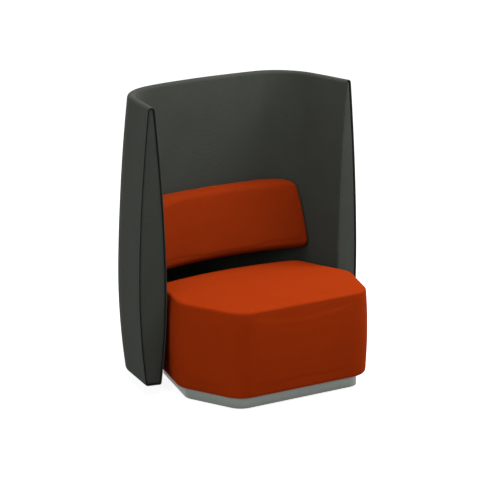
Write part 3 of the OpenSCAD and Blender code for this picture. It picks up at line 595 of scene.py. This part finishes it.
# The welt's near-black colour is partly the cord's own black and partly painted shade for the
# groove round each end panel.
WELT_BLACK_AND_GROOVE_SHADE = cloth("black_welt", srgb(22, 22, 20), 0.5, {"Specular IOR Level": 0.2})
WEBBING = cloth("webbing", srgb(52, 52, 48), 1.4, CLOTH, STRAP_THREADS,
                bump=0.8, relief=0.0008)
PLYWOOD = wood("plywood", srgb(214, 184, 138), srgb(170, 133, 88), 9.0)
SOFTWOOD = wood("softwood", srgb(226, 196, 148), srgb(192, 150, 98), 6.0)
FOAM_LOOK = foam("upholstery_foam", srgb(236, 222, 178), 600.0,
                 {"Roughness": 0.95, "Specular IOR Level": 0.1}, bump=0.8, relief=0.001)
GLIDE = foam("glide_plastic", srgb(34, 34, 34), 900.0, {"Roughness": 0.55},
             bump=0.3, relief=0.0002)
LAMINATE = metal("plinth_laminate", srgb(142, 149, 144), 0.30,
                 {"Metallic": 0.35, "Specular IOR Level": 0.5}, bump=0.15, relief=0.00008)
ZINC = metal("zinc_steel", srgb(202, 204, 206), 0.22, SOLID_METAL,
             bump=0.2, relief=0.0001)
BRASS = metal("brass_insert", srgb(205, 172, 98), 0.25, SOLID_METAL,
              bump=0.2, relief=0.0001)

NODE_LOOKS = {
    PLYWOOD: ("plinth_boards", "seat_base_board", "seat_carcass_panels", "screen_core",
              "lumbar_board"),
    SOFTWOOD: ("plinth_corner_blocks", "seat_corner_battens", "screen_outer_rail",
               "screen_inner_rail", "screen_spacers", "lumbar_sleeves"),
    FOAM_LOOK: ("seat_side_foam", "seat_top_foam", "screen_outer_foam", "screen_inner_foam"),
    WEBBING: ("seat_webbing_straps",),
    ZINC: ("plinth_screws", "screen_bolts", "screen_tee_nuts", "lumbar_bolts", "lumbar_tee_nuts",
           "glide_stud_front_left", "glide_stud_front_right", "glide_stud_rear_left",
           "glide_stud_rear_right"),
    BRASS: ("glide_inserts",),
    GLIDE: ("glide_pad_front_left", "glide_pad_front_right", "glide_pad_rear_left",
            "glide_pad_rear_right"),
}


def dress_nodes():
    """The boards, foam and fixings under the cloth keep their shapes and get their finishes."""
    for finish, names in NODE_LOOKS.items():
        for name in names:
            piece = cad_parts[name]
            piece.data.materials.clear()
            piece.data.materials.append(finish)


# Screen: cover, end panels and welts

def make_screen_cover():
    """The screen's section carried along its middle line. At each wing's end the cloth rolls over
    a small lip, runs back into the groove and closes behind the end panel."""
    places, normals = screen_plan(LIP_R)
    body = np.stack([ring_at(p, n, PROFILE) for p, n in zip(places, normals)])
    offsets = ripple(body)[..., None]
    out = np.concatenate((normals[:, None, :] * PROFILE_N[None, :, :1],
                          np.broadcast_to(PROFILE_N[None, :, 1:], (*body.shape[:2], 1))), -1)
    fade = np.clip(np.arange(len(body)) / RIPPLE_FADE, 0, 1)
    fade = np.minimum(fade, fade[::-1])[:, None, None]
    body = body + out * offsets * fade
    turns = np.linspace(math.pi, 0, LIP_RINGS)[:-1]
    lip = [wing_ring(LIP_R * (1 - math.sin(a)), LIP_R * (1 - math.cos(a))) for a in turns]
    behind = [wing_ring(PANEL_BACK, 2 * LIP_R, share) for share in (1.0, 0.5, 0.0)]
    start = np.stack(behind + [wing_ring(PANEL_BACK / 2, 2 * LIP_R)] + lip)
    end = start[::-1] * np.array((-1.0, 1.0, 1.0))
    return surface("screen_upholstery", np.concatenate((start, body, end)))


def make_end_panel(name):
    """A padded panel across the right wing's end: rings step in from its back edge, round its rim
    and rise over a slight crown to the line up its middle."""
    rim = np.linspace(0, math.pi / 2, PANEL_RIM_RINGS)
    rings = [wing_ring(PANEL_BACK, PANEL_INSET, share) for share in (1.0, 0.5)]
    rings += [wing_ring(PANEL_BACK, PANEL_INSET),
              wing_ring(PANEL_DEPTH + PANEL_EDGE_R, PANEL_INSET)]
    rings += [wing_ring(PANEL_DEPTH + PANEL_EDGE_R * (1 - math.sin(a)),
                        PANEL_INSET + PANEL_EDGE_R * (1 - math.cos(a))) for a in rim[1:]]
    inner = PANEL_INSET + PANEL_EDGE_R
    for share in np.linspace(0, 1, PANEL_CROWN_RINGS)[1:]:
        rise = PANEL_CROWN * (1 - (1 - share) ** 2)
        rings.append(wing_ring(PANEL_DEPTH - rise, inner, share))
    return surface(name, np.stack(rings))


def make_welt(name):
    """A round cord in the groove round an end panel: a circle carried along the section's outline,
    moved in by WELT_INSET."""
    turns = np.linspace(0, 2 * math.pi, WELT_POINTS, endpoint=False)
    rings = [wing_ring(WELT_DEPTH + WELT_R * math.sin(a), WELT_INSET + WELT_R * math.cos(a))
             for a in turns]
    return surface(name, np.stack(rings), close_rows=True)


# Seat and lumbar cushion

def round_corners(corners, radii, steps, inset):
    """Plan of the seat block: its corners, moved inwards by inset and rounded by arcs. The rear
    corner between the two rear ones stands for the bow, whose arc is rounded with its radius."""
    n = len(corners)
    before, after = np.roll(corners, 1, 0), np.roll(corners, -1, 0)
    u = (corners - before) / np.linalg.norm(corners - before, axis=1)[:, None]
    v = (after - corners) / np.linalg.norm(after - corners, axis=1)[:, None]
    left_u, left_v = (np.stack((-w[:, 1], w[:, 0]), -1) for w in (u, v))
    moved = corners + (left_u + left_v) * inset / (1 + (u * v).sum(1))[:, None]
    loop = []
    for i in range(n):
        a, b = unit(moved[i - 1] - moved[i]), unit(moved[(i + 1) % n] - moved[i])
        half = math.acos(a @ b) / 2
        radius = max(radii[i] - inset, SEAT_LEAST_R)
        centre = moved[i] + unit(a + b) * radius / math.sin(half)
        first = angle_of(moved[i] + a * radius / math.tan(half) - centre)
        turn = (angle_of(moved[i] + b * radius / math.tan(half) - centre) - first + math.pi)
        turn = turn % (2 * math.pi) - math.pi
        loop.append(centre + polar(radius, first + np.linspace(0, turn, steps[i])))
    return np.concatenate(loop)


def seat_corners():
    """The seat's plan: front corner, widest corner and rear corner on the right, the apex of the
    bow's end tangents, and the same on the left, anticlockwise."""
    side = WING_TIP + INWARD * (HALF_T + SIDE_GAP)
    run = np.array((-math.sin(SEAT_FLARE), math.cos(SEAT_FLARE)))
    bow_r = BACK_BOW_R - HALF_T - REAR_GAP
    wide = side + run * (SEAT_WIDE_Y - side[1]) / run[1]
    touch = angle_of(touch_centre(side, run, SEAT_RADII[2], BOW_CENTRE, bow_r, 1) - BOW_CENTRE)
    u = polar(1.0, np.array(touch))
    rear = side + run * (bow_r - (side - BOW_CENTRE) @ u) / (run @ u)
    right = np.array(((SEAT_FRONT_W / 2, 0.0), wide, rear))
    apex = np.array(((0.0, BOW_CENTRE[1] + bow_r / math.sin(touch)),))
    return np.concatenate((right, apex, mirrored(right))), bow_r


SEAT_CORNERS, SEAT_BOW_R = seat_corners()


def plinth_corners():
    """The plinth's plan: the seat's front and sides, and a rear moved back in parallel."""
    corners = SEAT_CORNERS.copy()
    shift = PLINTH_REACH + PLINTH_INSET
    corners[2] += np.array((-math.tan(SEAT_FLARE), 1.0)) * shift
    corners[4] = corners[2] * (-1, 1)
    corners[3, 1] = BOW_CENTRE[1] + SEAT_BOW_R + shift
    return corners


def seat_loop(inset, height, corners=SEAT_CORNERS, bow_r=SEAT_BOW_R):
    """The seat's outline, or the plinth's, drawn in by inset at a height."""
    radii = (*SEAT_RADII, bow_r, *SEAT_RADII[::-1])
    plan = round_corners(corners, radii, SEAT_CORNER_POINTS, inset)
    return np.column_stack((plan[:, 0], plan[:, 1] + FRONT_Y, np.full(len(plan), height)))


def make_seat():
    """The seat block as closed rings: a fold under the base board, a round foot, sides that swell
    as a parabola, a round top edge, and a crown that rises as a sine towards the middle."""
    middle = np.array((0.0, SEAT_CORNERS[3, 1] / 2 + FRONT_Y, 0.0))
    fold = seat_loop(BASE_BOARD_IN, FOLD_Z)
    rings = [fold * (1 - s) + (middle + (0, 0, FOLD_Z)) * s
             for s in np.linspace(1, 0, SEAT_FOLD_RINGS)]
    rings.append(seat_loop(BASE_BOARD_IN - FOLD_LAP, SEAT_BOTTOM_Z))
    for a in np.linspace(0, math.pi / 2, SEAT_ROUND_RINGS):
        rings.append(seat_loop(SEAT_BULGE + SEAT_FOOT_R * (1 - math.sin(a)),
                               SEAT_BOTTOM_Z + SEAT_FOOT_R * (1 - math.cos(a))))
    low, high = SEAT_BOTTOM_Z + SEAT_FOOT_R, SEAT_EDGE_Z - SEAT_EDGE_R
    for s in np.linspace(0, 1, SEAT_SIDE_RINGS)[1:]:
        rings.append(seat_loop(SEAT_BULGE * (2 * s - 1) ** 2, low + (high - low) * s))
    for a in np.linspace(0, math.pi / 2, SEAT_ROUND_RINGS)[1:]:
        rings.append(seat_loop(SEAT_BULGE + SEAT_EDGE_R * (1 - math.cos(a)),
                               high + SEAT_EDGE_R * math.sin(a)))
    rim = rings[-1]
    for s in np.linspace(0, 1, SEAT_CROWN_RINGS)[1:]:
        ring = rim + (middle + (0, 0, SEAT_EDGE_Z) - rim) * s
        ring[:, 2] += SEAT_CROWN * math.sin(math.pi / 2 * s)
        rings.append(ring)
    return surface("seat_upholstery", np.stack(rings))


def circles_meet(a, ra, b, rb):
    """Where two circles cross, on the right of the line from a to b."""
    gap = np.linalg.norm(b - a)
    u = (b - a) / gap
    k = (ra * ra - rb * rb + gap * gap) / (2 * gap)
    return a + u * k + np.array((u[1], -u[0])) * math.sqrt(ra * ra - k * k)


def lumbar_loop(height, front, ends):
    """The lumbar cushion's plan at a height: a front bow this far off the screen's face, rounded
    front corners, end walls along the screen's corners, drawn in by ends at the front and by
    nothing at the rear, and the rear bow."""
    face = float(half_t(height)) + LUMBAR_GAP
    middle = np.array((0.0, BACK_Y - face - front - LUMBAR_BOW_R))
    wall = SCREEN_CORNER_R - face
    radius = min(LUMBAR_END_R, (front - ends) * LUMBAR_END_SHARE)
    side = WING_TIP + INWARD * (face + ends)
    centre = touch_centre(side, ALONG, radius, middle, LUMBAR_BOW_R, -1)
    on_wing = (centre - CORNER_CENTRE) @ ALONG < 0
    if not on_wing:
        centre = circles_meet(middle, LUMBAR_BOW_R + radius, CORNER_CENTRE, wall - ends - radius)
    turn = angle_of(centre - middle)
    meet = WING_FLARE if on_wing else angle_of(centre - CORNER_CENTRE)
    share = np.linspace(0, 1, LUMBAR_WALL_POINTS)
    half = np.concatenate((
        middle + polar(LUMBAR_BOW_R, np.linspace(math.pi / 2, turn, LUMBAR_FRONT_POINTS))[:-1],
        centre + polar(radius, np.linspace(turn - math.pi, meet, LUMBAR_END_POINTS)),
        CORNER_CENTRE + polar(wall - ends + ends * share,
                              meet + (BOW_ANGLE - meet) * share)[1:],
        BOW_CENTRE + polar(BACK_BOW_R - face,
                           np.linspace(BOW_ANGLE, math.pi / 2, LUMBAR_REAR_POINTS))[1:]))
    plan = np.concatenate((half, mirrored(half)[1:-1]))
    return np.column_stack((plan[:, 0], plan[:, 1] + FRONT_Y, np.full(len(plan), height)))


def lumbar_front(z):
    """Depth of the cushion's front at height z: a straight lean with a slight parabolic swell."""
    s = (z - LUMBAR_BOTTOM_Z) / (LUMBAR_TOP_Z - LUMBAR_BOTTOM_Z)
    return LUMBAR_BOTTOM_D + (LUMBAR_TOP_D - LUMBAR_BOTTOM_D) * s + LUMBAR_CROWN * 4 * s * (1 - s)


def make_lumbar():
    """The lumbar cushion as closed rings: round foot, leaning front, round top, and both ends
    drawn together to the line along their middle."""
    low, high = LUMBAR_BOTTOM_Z + LUMBAR_FOOT_R, LUMBAR_TOP_Z - LUMBAR_TOP_R
    rings = []
    for a in np.linspace(0, math.pi / 2, LUMBAR_ROUND_RINGS)[:-1]:
        z = low - LUMBAR_FOOT_R * math.cos(a)
        rings.append(lumbar_loop(z, lumbar_front(z) - LUMBAR_FOOT_R * (1 - math.sin(a)),
                                 LUMBAR_SIDE_R * (1 - math.sin(a))))
    for z in np.linspace(low, high, LUMBAR_SIDE_RINGS):
        rings.append(lumbar_loop(z, lumbar_front(z), 0.0))
    for a in np.linspace(math.pi / 2, 0, LUMBAR_ROUND_RINGS)[1:]:
        z = high + LUMBAR_TOP_R * math.cos(a)
        rings.append(lumbar_loop(z, lumbar_front(z) - LUMBAR_TOP_R * (1 - math.sin(a)),
                                 LUMBAR_SIDE_R * (1 - math.sin(a))))
    return close_by_hand("lumbar_cushion", np.stack(rings))


def close_by_hand(name, rings):
    """A grid of closed rings whose ends are closed by ladders of faces: each joins a point on the
    front to its partner on the rear, counted from the other end of the half loop."""
    m, n = rings.shape[:2]
    rear = n // 2
    ladder = [[i, i + 1, rear - i - 1, rear - i] for i in range(rear // 2)]
    ladder += [[-i % n, -(i + 1) % n, rear + i + 1, rear + i] for i in range(rear // 2)]
    ladder = [list(dict.fromkeys(face)) for face in ladder]
    ends = [[point + first for point in face] for first in (0, (m - 1) * n)
            for face in ladder if len(face) > 2]
    return piece_of(name, rings, grid_faces(m, n) + ends)


def swell(piece, cap, hold):
    """Remeshes a cushion on its own surface, draws it in a little and lets its cloth swell under
    air pressure. Points only move outwards, by cap at most; hold gives each point's share of it."""
    shape = piece.copy()
    shape.data = piece.data.copy()
    bpy.context.collection.objects.link(shape)
    modified(piece, "even", "REMESH", mode="VOXEL", voxel_size=VOXEL)
    modified(piece, "even_out", "SMOOTH", factor=0.5, iterations=4)
    modified(piece, "back_on", "SHRINKWRAP", target=shape, wrap_method="NEAREST_SURFACEPOINT")
    bpy.data.objects.remove(shape)
    outward = normals_of(piece.data)
    share = hold(points_of(piece.data))
    start = points_of(piece.data) - outward * (share * cap / 2)[:, None]
    piece.data.vertices.foreach_set("co", start.ravel())
    work = piece.copy()
    work.data = piece.data.copy()
    bpy.context.collection.objects.link(work)
    air = work.modifiers.new("air", "CLOTH")
    for key, value in AIR.items():
        setattr(air.settings, key, value)
    air.settings.effector_weights.gravity = 0
    air.point_cache.frame_start = 1
    air.point_cache.frame_end = AIR_FRAMES
    for step in range(1, AIR_FRAMES + 1):
        bpy.context.scene.frame_set(step)
    graph = bpy.context.evaluated_depsgraph_get()
    puffed = points_of(work.evaluated_get(graph).to_mesh())
    rise = ((puffed - start) * outward).sum(1)
    rise = cap * np.tanh(np.maximum(rise, 0) / cap) * share
    bpy.context.scene.frame_set(1)
    bpy.data.objects.remove(work)
    piece.data.vertices.foreach_set("co", (start + outward * rise[:, None]).ravel())
    modified(piece, "settled", "SMOOTH", factor=0.5, iterations=3)
    return smooth(piece)


def above_foot(points):
    """Each point's share of the seat's swelling: none at its foot, all of it 40 mm higher."""
    return np.clip((points[:, 2] - SEAT_HOLD_Z) / SEAT_HOLD_REACH, 0, 1)


def in_front(points):
    """Each point's share of the cushion's swelling: none near the screen, all 30 mm further off."""
    reach = np.linalg.norm(points[:, :2] - (0, FRONT_Y) - BOW_CENTRE, axis=1)
    return np.clip((BACK_BOW_R - HALF_T - LUMBAR_HOLD_GAP - reach) / LUMBAR_HOLD_REACH, 0, 1)


# Plinth

def make_plinth_band():
    """The laminate round the plinth: a thin upright band that follows the plinth's plan, its edges
    eased, closed inside."""
    outer, inner, eased = PLINTH_INSET, PLINTH_INSET + PLINTH_BAND_T, PLINTH_INSET + PLINTH_EASE
    section = ((inner, PLINTH_Z0), (eased, PLINTH_Z0), (outer, PLINTH_Z0 + PLINTH_EASE),
               (outer, PLINTH_Z1 - PLINTH_EASE), (eased, PLINTH_Z1), (inner, PLINTH_Z1))
    corners = plinth_corners()
    rings = np.stack([seat_loop(inset, z, corners, 0.0) for inset, z in section])
    return surface("plinth_laminate_band", rings, close_rows=True)


# The chair

def make_chair():
    dress_nodes()
    dress(make_screen_cover(), SCREEN_CLOTH, "screen_cloth", "screen_cover")
    panel = make_end_panel("end_panel_cloth_right")
    left_panel = mirror_copy(panel, "end_panel_cloth_left")
    dress(panel, SCREEN_CLOTH, "screen_cloth", "end_panel_right")
    dress(left_panel, SCREEN_CLOTH, "screen_cloth", "end_panel_left")
    welt = make_welt("welt_cord_right")
    left_welt = mirror_copy(welt, "welt_cord_left")
    dress(welt, WELT_BLACK_AND_GROOVE_SHADE, "black_welt", "end_welt_right")
    dress(left_welt, WELT_BLACK_AND_GROOVE_SHADE, "black_welt", "end_welt_left")

    seat = make_seat()
    swell(seat, SEAT_SWELL, above_foot)
    dress(seat, SEAT_CLOTH_PAINTED_LIGHTER, "seat_cloth", "seat_cover", "seat_wadding")

    lumbar = make_lumbar()
    swell(lumbar, LUMBAR_SWELL, in_front)
    dress(lumbar, LUMBAR_CLOTH_PAINTED_DARKER, "lumbar_cloth", "lumbar_cover", "lumbar_foam")
    dress(make_plinth_band(), LAMINATE, "plinth_laminate", "plinth_band")


# Light and floor

LIGHTS = {
    # name: place, size in metres, power in watts
    "overhead": ((0.0, -0.9, 4.2), 3.2, 78.0),
    "top_right": ((2.6, -1.4, 3.8), 2.0, 82.0),
    "right_side": ((4.5, 0.4, 2.0), 2.4, 20.0),
    "left_front": ((-4.2, -2.2, 2.0), 2.0, 30.0),
    "left_side": ((-4.5, 0.4, 2.0), 2.4, 15.0),
    "behind": ((0.0, 3.6, 3.6), 2.4, 4.0),
}
AMBIENT = 0.03
BACKDROP = 1.0
FLOOR_HALF = 30.0
FLOOR_TONE = (0.85, 0.85, 0.85, 1)
FLOOR_BOUNCE = (0.45, 0.45, 0.45, 1)
LIFT_NEAR, LIFT_FAR = (0.8, 0.88), (2.2, 1.02)  # distance from the middle, glow


def area_light(name, place, size, power):
    """A soft square light aimed at the chair's middle."""
    data = bpy.data.lights.new(name, "AREA")
    data.size = size
    data.energy = power
    lamp = bpy.data.objects.new(name, data)
    bpy.context.collection.objects.link(lamp)
    lamp.location = place
    lamp.rotation_euler = (Vector(place) - CAMERA_TARGET).to_track_quat("Z", "Y").to_euler()


def make_light():
    world = bpy.data.worlds.new("studio")
    world.use_nodes = True
    bpy.context.scene.world = world
    t = Tree(world.node_tree)
    world.node_tree.nodes.clear()
    path = t.add("ShaderNodeLightPath").outputs
    seen = t.maths("MAXIMUM", path["Is Camera Ray"],
                   t.maths("MAXIMUM", path["Is Glossy Ray"], path["Is Transmission Ray"]))
    strength = t.ramp(seen, (0.0, AMBIENT), (1.0, BACKDROP))
    back = t.add("ShaderNodeBackground", {"Color": (1, 1, 1, 1), "Strength": strength})
    out = t.add("ShaderNodeOutputWorld")
    world.node_tree.links.new(back.outputs[0], out.inputs["Surface"])
    for name, (place, size, power) in LIGHTS.items():
        area_light(name, place, size, power)


def make_floor():
    """A wide pale sheet that keeps the chair's shadow; seen by the camera it is lifted to white,
    and it throws little light back up."""
    mesh = bpy.data.meshes.new("floor")
    mesh.from_pydata([(x * FLOOR_HALF, y * FLOOR_HALF, 0)
                      for x, y in ((-1, -1), (1, -1), (1, 1), (-1, 1))], [], [(0, 1, 2, 3)])
    floor = bpy.data.objects.new("floor", mesh)
    bpy.context.collection.objects.link(floor)
    pale = bpy.data.materials.new("pale_floor")
    pale.use_nodes = True
    t = Tree(pale.node_tree)
    pale.node_tree.nodes.clear()
    path = t.add("ShaderNodeLightPath").outputs
    seen = t.maths("MAXIMUM", path["Is Camera Ray"], path["Is Glossy Ray"])
    away = t.add("ShaderNodeVectorMath", {0: t.add("ShaderNodeNewGeometry").outputs["Position"]},
                 operation="LENGTH").outputs["Value"]
    spread = t.ramp(away, LIFT_NEAR, LIFT_FAR, interpolation_type="SMOOTHSTEP")
    lift = t.maths("MULTIPLY", seen, spread)
    tone = t.mix(path["Is Diffuse Ray"], FLOOR_TONE, FLOOR_BOUNCE)
    body = t.add("ShaderNodeBsdfPrincipled", {"Base Color": tone, "Roughness": 0.9,
                                              "Specular IOR Level": 0.0,
                                              "Emission Color": (1, 1, 1, 1),
                                              "Emission Strength": lift})
    out = t.add("ShaderNodeOutputMaterial")
    pale.node_tree.links.new(body.outputs[0], out.inputs["Surface"])
    mesh.materials.append(pale)


make_chair()
make_light()
make_floor()
bpy.context.scene.view_settings.view_transform = "Standard"
